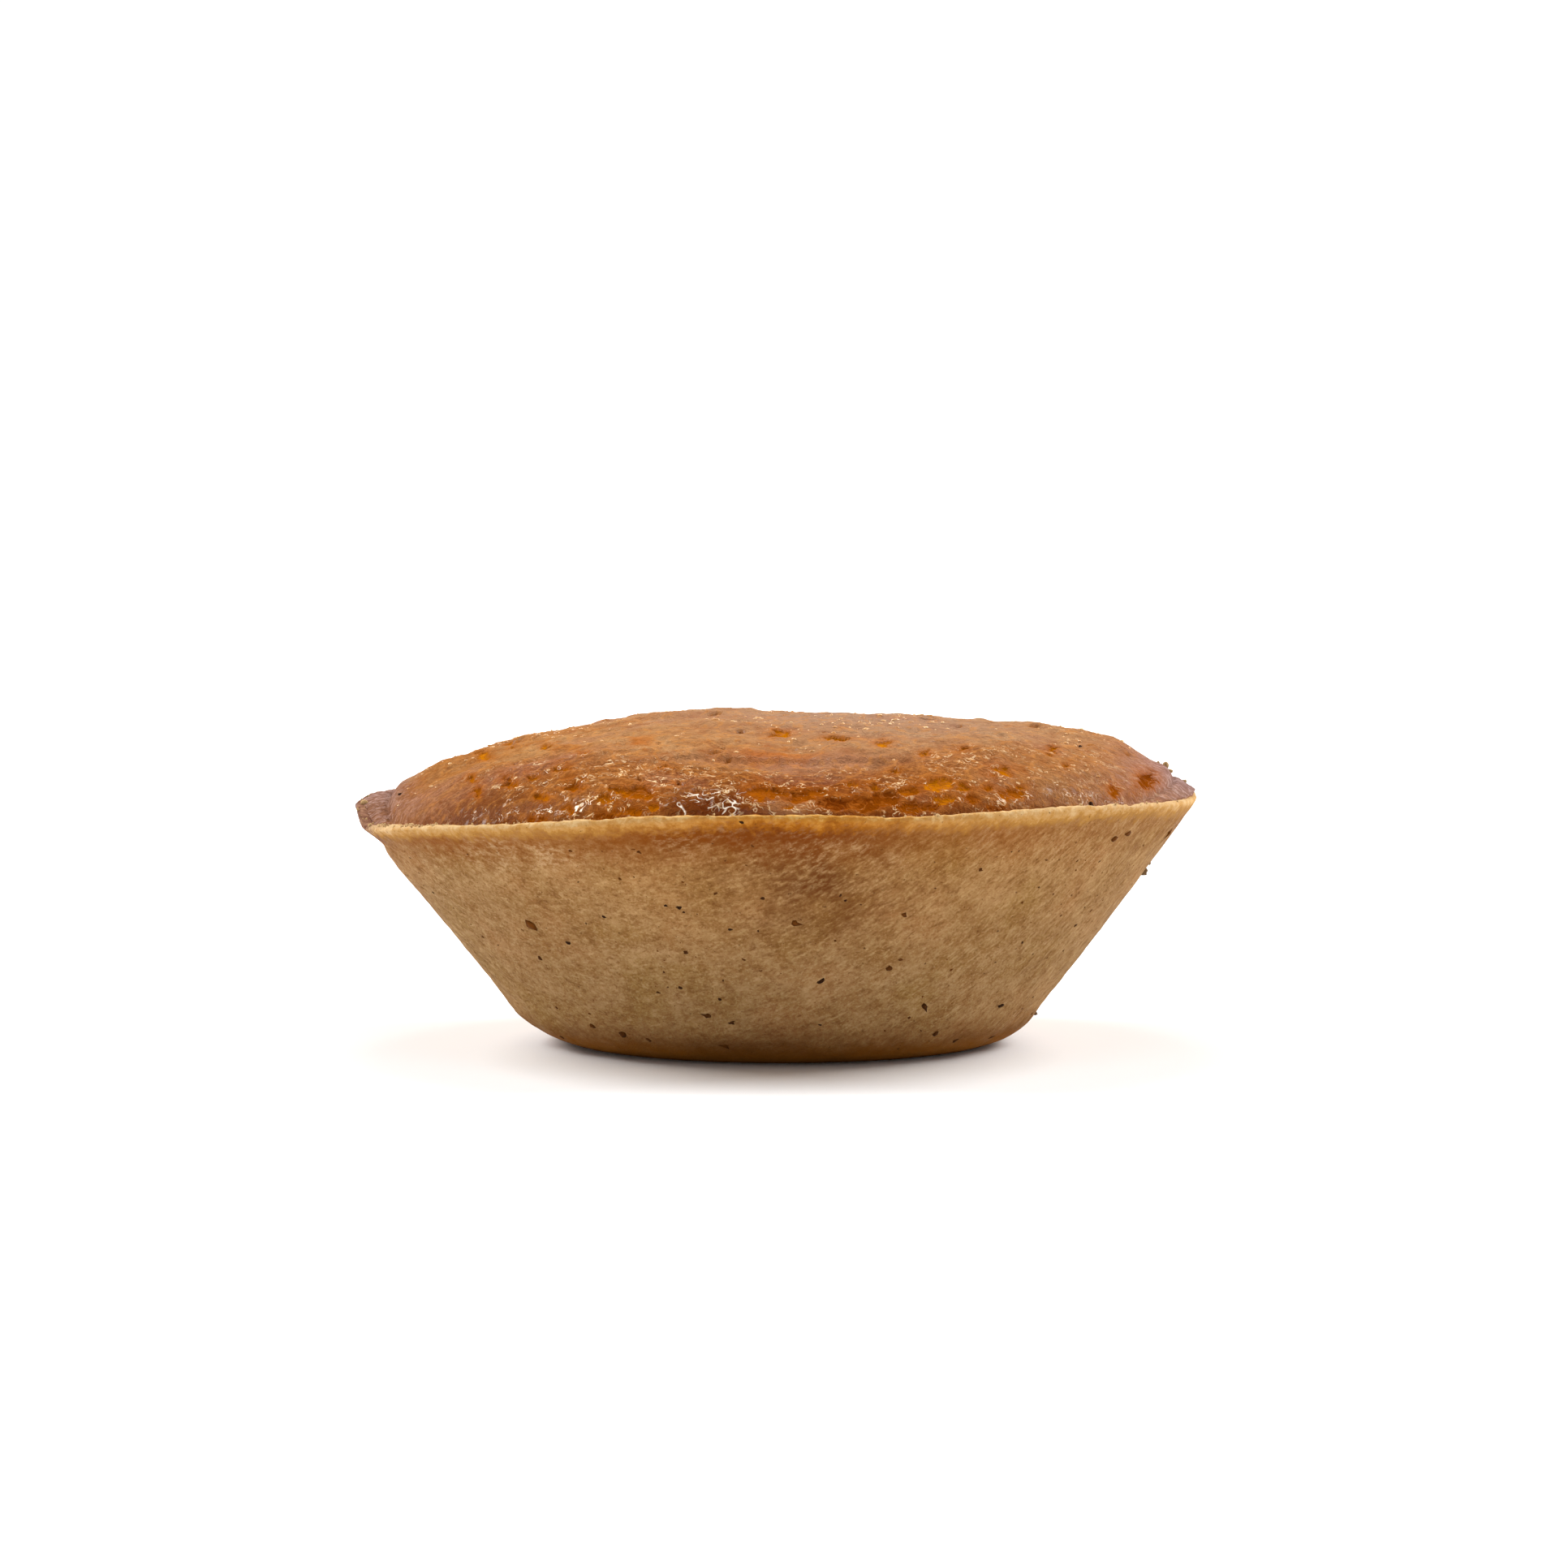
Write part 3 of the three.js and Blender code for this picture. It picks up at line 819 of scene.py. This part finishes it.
mauve = spots(flat, (0.6, (0, -22.3), (12, 1.4)), (1.0, (-20, -18), (7, 2.5)), (0.15, (-28, -16), (4, 6)),
              (1.0, (31, -6), (4, 12))) + 0.6 * ramp(0.15, 0.6, lumps(plan, 6.5, 35))
# Pale greyish tan over the middle and back of the dome: partly a painted sheen.
pale = spots(flat, (1.0, (9, -6), (16, 15)), (0.5, (-4, 12), (20, 14)))
facing = np.clip(0.5 - 0.5 * np.sin(fill_angle), 0, 1) ** 2
# Darker red-brown low on the front: partly browning and partly painted shade; the band along the rim, on the
# front side only, is painted shade.
burnt = spots(flat, (1.2, (3, -30), (7.5, 4.5)), (0.8, (-25, -23), (8, 4.5)))
burnt = burnt + 0.5 * ramp(30, 33.5, fill_r) * facing * (1 - film)
front_band = ramp(23.0, 27.5, fill_r) * facing
front_band = front_band * (1 - 0.45 * ramp(8, 24, fill_x))
# Where glints are painted: most on the front band, few at the left end, on the film or in the puddle.
sparkle = (0.12 + 0.88 * front_band) * ramp(-29, -20, fill_x)
sparkle = sparkle * (1 - 0.8 * film) * (1 - 0.5 * puddle)
drops = ramp(0.42, 0.60, lumps(plan, 0.8, 36)) * ramp(-0.2, 0.4, lumps(plan, 5, 37))
syrupy = ramp(-0.25, 0.35, lumps(plan, 3.5, 38)) * ramp(27, 20, fill_r)
wet = 0.01 * front_band + 0.05 * puddle + 0.02 * film + 0.15 * drops + 0.08 * syrupy
wet = np.clip(wet, 0, 1) * (1 - 0.85 * pit)
pit_inner = np.maximum.reduce([front_in, large_in, cave_in])
lacy = in_front * spots(seen, (1.0, (1.2, 20.1), (2.4, 0.6)))
store(filling, of_filling, pit=pit, mauve=np.clip(mauve, 0, 1), front_band=front_band, film=film, wet=wet,
      crest=crest, pale=np.clip(pale, 0, 1), burnt=np.clip(burnt, 0, 1), pit_dark=np.clip(pit_dark, 0, 1),
      pit_inner=pit_inner, puddle=puddle, overhang=np.clip(overhang, -1, 1), glow=glow, sparkle=sparkle,
      film_right=right_end, lacy=lacy)


def thin_lines(finish, grain, width, warp=1.2):
    """Curly lines from 0 to 1 that bend about every `grain`: where warped noise is within `width` of 0.5."""
    away = finish.maths("ABSOLUTE", finish.maths("SUBTRACT", finish.noise(grain, 1.0, 0.5, warp=warp), 0.5))
    return finish.spread(away, 0.0, width, 1.0, 0.0)


def filling_finish():
    """Browned custard skin under a wet glaze: caramel and tan, mauve where it is thick, amber in its pits,
    with fine wrinkles. Painted light on it: highlights on crinkle crests, glints as pale golden curls and
    squiggles, shade between wrinkles and under the pits' upper edges, and partly the pale sheen, the
    film's streaks and the dark low front."""
    custard = Finish("glazed_custard")
    blotch = custard.noise(5.0, 4.0, 0.6, warp=0.8)
    mottle = custard.noise(1.2, 4.0, 0.65, warp=0.5)
    front = custard.stored("front_band")
    crest = custard.stored("crest")
    custard.colour = custard.blend(custard.spread(blotch, 0.36, 0.66), (151, 95, 45), (162, 118, 73))
    # Of these tints, the pale one is partly a painted sheen, and the burnt one partly painted shade.
    custard.layers(
        ((190, 136, 84), mottle, 0.50, 0.72, 0.6), ((136, 68, 16), mottle, 0.46, 0.28, 0.7),
        ((150, 121, 101), "pale", 0.0, 1.0, 0.7), ((149, 89, 40), front, 0.0, 1.0, 0.7),
        ((90, 34, 4), "burnt", 0.0, 1.0, 0.65))
    custard.lay((148, 101, 80), "mauve", custard.spread(mottle, 0.3, 0.65, 0.35, 0.75))
    # Darker in the hollows between the crinkles and lighter on their crests: painted shade and painted
    # highlight.
    hollow_shade_share = custard.spread(front, 0.0, 1.0, 0.15, 0.38)
    custard.lay((104, 48, 14), custard.spread(crest, 0.40, 0.05), hollow_shade_share)
    custard.layers(((190, 124, 58), crest, 0.65, 0.95, 0.35))
    # Greyish mauve syrup film at both ends: its pale streaks are partly a painted reflection of the white
    # surroundings on the glaze.
    streaks = custard.spread(custard.noise(0.9, 3.0, 0.6, warp=1.5), 0.45, 0.7)
    left_film = custard.blend(streaks, (117, 84, 73), (184, 155, 146))
    right_film = custard.blend(streaks, (128, 98, 92), (184, 158, 152))
    custard.lay(custard.blend("film_right", left_film, right_film), "film", 0.9)
    wrinkles = thin_lines(custard, 0.45, 0.12, 0.6)
    # Darker away from the fine wrinkle ridges, most on the front band: painted shade.
    gap_shade_share = custard.spread(front, 0.0, 1.0, 0.05, 0.50)
    custard.lay((83, 35, 10), custard.spread(wrinkles, 0.5, 0.0), gap_shade_share)
    custard.layers(((176, 130, 90), "lacy", 0.0, 1.0, 0.75), ((94, 39, 6), "puddle", 0.0, 1.0, 0.85),
                   ((160, 84, 16), "glow", 0.0, 1.0, 0.7))
    dark = custard.stored("pit_dark")
    amber = custard.blend(custard.spread(dark, 0.0, 0.5), (194, 118, 8), (156, 82, 4))
    # The last tint darkens each front pit towards its upper edge: painted shadow under the overhanging skin.
    for tint, share in (((90, 33, 4), custard.spread(dark, 0.5, 1.0)),
                        ((110, 48, 4), custard.spread(mottle, 0.48, 0.72, 0.0, 0.5)),
                        ((100, 44, 6), custard.spread("pit_inner", 0.35, 0.0, 0.0, 0.45)),
                        ((92, 38, 5), custard.spread("overhang", -0.1, 0.9, 0.0, 0.5))):
        amber = custard.blend(share, amber, tint)
    strands = thin_lines(custard, 1.3, 0.07)
    open_pit = custard.times("pit", custard.spread(strands, 0.2, 0.9, 1.0, 0.3))
    custard.lay(amber, open_pit)
    # Pale golden curls: painted glints, which also get the clear coat.
    curls = thin_lines(custard, 0.75, 0.048)
    broken = custard.spread(custard.noise(0.9, 1.0, 0.5), 0.46, 0.55)
    cluster = custard.spread(custard.noise(2.6, 2.0, 0.5), 0.40, 0.60)
    painted_glint = custard.times(curls, broken, cluster, "sparkle", custard.spread(open_pit, 0.5, 0.1))
    custard.lay((255, 220, 168), painted_glint)
    # White squiggles in the syrup puddle: painted highlights.
    squiggle_highlight = thin_lines(custard, 1.7, 0.028)
    gaps = custard.spread(custard.noise(1.6, 1.0, 0.5), 0.46, 0.53)
    custard.lay((255, 242, 222), squiggle_highlight, gaps, custard.spread("puddle", 0.35, 0.60))
    custard.set(Base_Color=custard.colour, Roughness=custard.spread(mottle, 0.3, 0.7, 0.5, 0.7),
                Normal=custard.bump(wrinkles, 0.05), Specular_IOR_Level=0.0,
                Coat_Weight=custard.maths("MAXIMUM", "wet", custard.times(painted_glint, 0.6)),
                Coat_Roughness=0.06, Coat_IOR=1.8)
    return custard.owner


filling.data.materials.append(filling_finish())
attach(filling, "root")
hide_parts("bean_filling")

# Bran flecks
# Bits of bran milled with the flour show as brown and black flakes all over the dough. The larger ones on
# the front lie where they do on the real tart, the rest are strewn. Each is pressed half into the dough.
FLECK_CORNERS = 8
FLECK_SPREAD = 700
FLECK_HEIGHTS = (1.0, 19.0)
FLECK_SIZES = (0.05, 0.20)
FLECK_GROWTH = 1.15
# Each large fleck on the front: how far across, how high in the tin, the reach it shows, and its darkness
FRONT_FLECKS = np.array([
    (-19.5, 12.0, 0.5, 0.2), (1.5, 12.5, 0.42, 0.45), (10.0, 13.0, 0.26, 0.5), (9.0, 8.5, 0.24, 0.6),
    (3.5, 7.5, 0.3, 1.0), (-16.5, 10.5, 0.3, 1.0), (-19.0, 9.0, 0.24, 0.7), (-8.5, 14.0, 0.2, 1.0),
    (-7.5, 13.8, 0.24, 1.0), (-13.5, 13.0, 0.18, 1.0), (-1.0, 14.5, 0.22, 0.9), (-3.5, 12.0, 0.18, 1.0),
    (18.5, 4.5, 0.34, 1.0), (12.0, 5.0, 0.36, 0.8), (24.5, 11.0, 0.25, 0.8), (27.2, 18.4, 0.42, 0.4),
    (-5.5, 4.5, 0.34, 0.7), (-12.5, 2.5, 0.4, 0.6), (-15.0, 3.0, 0.34, 0.5), (-4.5, 6.0, 0.2, 0.9),
    (-3.5, 4.0, 0.22, 0.9), (13.0, 2.5, 0.36, 0.7), (15.0, 1.5, 0.36, 0.8), (16.0, 16.5, 0.22, 0.6),
    (32.5, 18.4, 0.55, 0.3), (28.3, 18.7, 0.3, 0.4), (-2.5, 20.6, 0.16, 1.0), (-4.1, 1.8, 0.44, 0.5),
    (-10.4, 2.1, 0.28, 0.6), (18.2, 1.4, 0.36, 0.7), (21.6, 2.9, 0.26, 0.5), (-18.0, 1.6, 0.24, 0.6)])


def on_wall(angle, height):
    """Places on the case's outer face and the ways out of it, from the angle and the height in the tin."""
    outer = slice(0, int(np.argmax(section_out < 1)))
    radius = np.interp(height, section_z[outer], section_r[outer])
    out_r = np.interp(height, section_z[outer], (along_z / along)[outer])
    out_z = -np.sqrt(1 - out_r**2)
    stand = dough_relief(angle, bundle(radius * np.cos(angle), radius * np.sin(angle), height))
    way = bundle(out_r * np.cos(angle), out_r * np.sin(angle), out_z)
    return baked(angle, radius + stand * out_r, height + stand * out_z), way


def front_angle(across, height):
    """The angle on the front of the case at which its wall is that far across at that height."""
    radius = np.interp(height, (0, RIM_HEIGHT), (FOOT_RADIUS, RIM_RADIUS))
    return -np.arccos(np.clip((across - LEAN * (RIM_HEIGHT - height)) / radius, -1, 1))


def random_sizes(draw, sizes, spread, count):
    """Random sizes, many small and few large: the least times exp of a gamma draw, up to the most."""
    return np.minimum(sizes[0] * np.exp(draw.gamma(*spread, count)), sizes[1])


def flakes(place, way, size, stretch, turn, draw):
    """Flat flakes with a ragged rim and a point above and below: each corner is at a random share of the
    size along the flake's own two directions, square to the way out, and the points a fifth of it off."""
    level = np.cross(way, (0, 0, 1.0))
    level /= np.linalg.norm(level, axis=1, keepdims=True)
    rise = np.cross(level, way)
    along_flake = np.cos(turn)[:, None] * level + np.sin(turn)[:, None] * rise
    across_flake = np.cross(way, along_flake)
    near = np.arange(FLECK_CORNERS)
    step = 2 * np.pi * near / FLECK_CORNERS
    reach = size[:, None] * draw.uniform(0.35, 1.1, (len(size), FLECK_CORNERS))
    ring = (place[:, None] + (reach * np.cos(step) * stretch[:, None])[..., None] * along_flake[:, None]
            + (reach * np.sin(step))[..., None] * across_flake[:, None])
    tip = 0.2 * size[:, None] * way
    points = np.concatenate([ring, (place + tip)[:, None], (place - tip)[:, None]], axis=1)
    after = (near + 1) % FLECK_CORNERS
    upper = bundle(near, after, FLECK_CORNERS)
    lower = bundle(after, near, FLECK_CORNERS + 1)
    faces = np.concatenate([upper, lower])[None] + points.shape[1] * np.arange(len(size))[:, None, None]
    return points.reshape(-1, 3), faces.ravel(), np.full(faces.size // 3, 3)


fleck_draw = np.random.default_rng(51)
strewn_angle = fleck_draw.uniform(-np.pi, np.pi, FLECK_SPREAD)
strewn_height = np.sqrt(fleck_draw.uniform(FLECK_HEIGHTS[0] ** 2, FLECK_HEIGHTS[1] ** 2, FLECK_SPREAD))
strewn_size = random_sizes(fleck_draw, FLECK_SIZES, (1.4, 0.35), FLECK_SPREAD)
front_across, front_height, front_reach = FRONT_FLECKS[:, :3].T
fleck_angle = np.concatenate([front_angle(front_across, front_height), strewn_angle])
fleck_place, fleck_way = on_wall(fleck_angle, np.concatenate([front_height, strewn_height]))
fleck_size = np.concatenate([FLECK_GROWTH * front_reach, strewn_size])
fleck_dark = np.concatenate([FRONT_FLECKS[:, 3], fleck_draw.uniform(0.2, 1.0, FLECK_SPREAD)])
fleck_stretch = fleck_draw.uniform(0.9, 1.8, len(fleck_size))
fleck_turn = fleck_draw.normal(0.3, 0.6, len(fleck_size))
fleck_mesh = flakes(fleck_place, fleck_way, fleck_size, fleck_stretch, fleck_turn, fleck_draw)
flecks = mesh_piece("bran_flecks", *fleck_mesh)
store(flecks, lambda dark: np.repeat(dark, FLECK_CORNERS + 2), dark=fleck_dark)


def bran_finish():
    """Toasted bran: brown to nearly black, mottled."""
    bran = Finish("toasted_bran")
    mottle = bran.noise(0.15, 2.0, 0.6)
    bran.colour = bran.blend("dark", (116, 64, 16), (40, 22, 10))
    bran.layers(((126, 80, 34), mottle, 0.5, 0.75, 0.4))
    rough = bran.spread(mottle, 0.3, 0.7, 0.65, 0.85)
    bran.set(Base_Color=bran.colour, Roughness=rough, Specular_IOR_Level=0.03)
    return bran.owner


flecks.data.materials.append(bran_finish())
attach(flecks, "root")

# Crumbs
# Pale crumbs of dough cling to the torn rim and to the film at its ends. A few burnt ones lie on the filling
# and stick to the wall. Each is a small uneven lump that sits where it fell.
CRUMB_ROWS = 6
CRUMB_COLUMNS = 8
CRUMB_POINTS = 2 + (CRUMB_ROWS - 2) * CRUMB_COLUMNS
RIM_CRUMBS = 150
OUT_OF_SIGHT = 1e6
RIM_CRUMB_SIZES = (0.07, 0.30)
# Each crumb on the wall: its angle in degrees, how high in the tin, its size, and how burnt it is
WALL_CRUMBS = np.array([(-9, 14.8, 0.42, 0.8), (-7, 2.5, 0.28, 0.9), (179, 11.5, 0.32, 0.1),
                        (178, 1.9, 0.32, 0.2), (-6, 15.4, 0.26, 0.7)])
# Each crumb on the filling, as the camera sees it: across, up, its size, and how burnt it is
TOP_CRUMBS = np.array([(26.1, 25.2, 0.3, 1.0), (27.1, 20.0, 0.25, 1.0), (-32.3, 21.2, 0.2, 1.0),
                       (33.7, 23.9, 0.26, 0.3), (34.3, 23.4, 0.22, 0.2), (33.0, 24.2, 0.2, 0.3),
                       (35.2, 22.5, 0.2, 0.5), (-35.2, 21.1, 0.18, 0.6)])


def on_filling(wanted):
    """The places on the front of the filling that the camera sees nearest to the wanted ones."""
    apart = ((seen[None] - wanted[:, None, None]) ** 2).sum(axis=-1) + OUT_OF_SIGHT * (1 - in_front)
    return fill_top.reshape(-1, 3)[apart.reshape(len(wanted), -1).argmin(axis=1)]


def small_lumps(place, size, stretch, draw):
    """Closed lumps round each place: points of a small globe, in rows of latitude and columns of longitude,
    drawn in or out by random relief and stretched along each axis by a share."""
    latitude = np.linspace(0, np.pi, CRUMB_ROWS)[:, None]
    longitude = 2 * np.pi * np.arange(CRUMB_COLUMNS) / CRUMB_COLUMNS
    across = np.sin(latitude) * np.cos(longitude)
    on = np.sin(latitude) * np.sin(longitude)
    globe = of_case(bundle(across, on, -np.cos(latitude)))
    shift = 10 * draw.random((len(size), 1, 3))
    rough = 1 + 0.6 * lumps(globe[None] + shift, 1.1, 61)
    points = place[:, None] + size[:, None, None] * rough[..., None] * stretch[:, None] * globe[None]
    corners, counts = turned_faces(CRUMB_ROWS, CRUMB_COLUMNS)
    all_corners = corners[None] + CRUMB_POINTS * np.arange(len(size))[:, None]
    return points.reshape(-1, 3), all_corners.ravel(), np.tile(counts, len(size))


crumb_draw = np.random.default_rng(62)
rim_angle = np.concatenate([np.radians(crumb_draw.normal(-152, 9, RIM_CRUMBS // 2)),
                            crumb_draw.uniform(-np.pi, np.pi, RIM_CRUMBS - RIM_CRUMBS // 2)])
rim_inset = crumb_draw.uniform(0.1, 0.9, RIM_CRUMBS)
rim_place = baked(rim_angle, RIM_RADIUS - rim_inset, np.full(RIM_CRUMBS, RIM_HEIGHT))
rim_size = random_sizes(crumb_draw, RIM_CRUMB_SIZES, (1.2, 0.4), RIM_CRUMBS)
wall_place = on_wall(np.radians(WALL_CRUMBS[:, 0]), WALL_CRUMBS[:, 1])[0]
crumb_place = np.concatenate([rim_place, wall_place, on_filling(TOP_CRUMBS[:, :2])])
crumb_size = np.concatenate([rim_size, WALL_CRUMBS[:, 2], TOP_CRUMBS[:, 2]])
crumb_burn = np.concatenate([crumb_draw.uniform(0, 0.25, RIM_CRUMBS), WALL_CRUMBS[:, 3], TOP_CRUMBS[:, 3]])
crumb_stretch = crumb_draw.uniform(0.6, 1.3, (len(crumb_size), 3))
crumbs = mesh_piece("crumbs", *small_lumps(crumb_place, crumb_size, crumb_stretch, crumb_draw))
store(crumbs, lambda burn: np.repeat(burn, CRUMB_POINTS), burn=crumb_burn)


def crumb_finish():
    """Dry crumbs, from pale dough to burnt, with a fine grain."""
    crumb = Finish("dry_crumbs")
    grain = crumb.noise(0.12, 2.0, 0.6)
    crumb.colour = crumb.blend("burn", (204, 168, 118), (40, 20, 10))
    crumb.layers(((120, 78, 42), grain, 0.35, 0.65, 0.35))
    rough = crumb.spread(grain, 0.3, 0.7, 0.7, 0.9)
    crumb.set(Base_Color=crumb.colour, Roughness=rough, Specular_IOR_Level=0.1)
    return crumb.owner


crumbs.data.materials.append(crumb_finish())
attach(crumbs, "root")

# Syrup beads
# The sugar glaze dried on the skin in small glossy drops and dashes, painted pale golden as the glints
# they catch: a painted highlight. Each is a drop of golden syrup, mostly longer than wide, half sunk in the
# skin.
BEADS = 480
BEAD_SIZES = (0.05, 0.12)
BEAD_STRETCH = ((0.9, 0.8, 0.7), (2.4, 1.4, 1.1))

bead_draw = np.random.default_rng(71)
step_out = np.gradient(fill_x)
step_on = np.gradient(fill_y)
cell_area = np.abs(step_out[0] * step_on[1] - step_out[1] * step_on[0])
bead_rich = ramp(-0.15, 0.45, lumps(plan, 5, 72)) * (1 - 0.6 * front_band) * (1 - film) * (1 - pit)
bead_share = (cell_area * bead_rich * inland).ravel()
bead_spots = bead_draw.choice(bead_share.size, BEADS, replace=False, p=bead_share / bead_share.sum())
bead_place = fill_top.reshape(-1, 3)[bead_spots]
bead_size = random_sizes(bead_draw, BEAD_SIZES, (1.3, 0.4), BEADS)
bead_stretch = bead_draw.uniform(*BEAD_STRETCH, (BEADS, 3))
beads = mesh_piece("syrup_beads", *small_lumps(bead_place, bead_size, bead_stretch, bead_draw))


def bead_finish():
    """Dried golden syrup, glossy, painted pale golden for its glints: a painted highlight."""
    syrup = Finish("dried_syrup")
    mottle = syrup.noise(0.4, 2.0, 0.6)
    # Pale golden paint: painted glints.
    syrup.colour = syrup.blend(syrup.spread(mottle, 0.35, 0.65), (212, 146, 78), (250, 210, 154))
    rough = syrup.spread(mottle, 0.3, 0.7, 0.3, 0.5)
    syrup.set(Base_Color=syrup.colour, Roughness=rough, Specular_IOR_Level=0.1, Coat_Weight=0.6,
              Coat_Roughness=0.06)
    return syrup.owner


beads.data.materials.append(bead_finish())
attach(beads, "root")
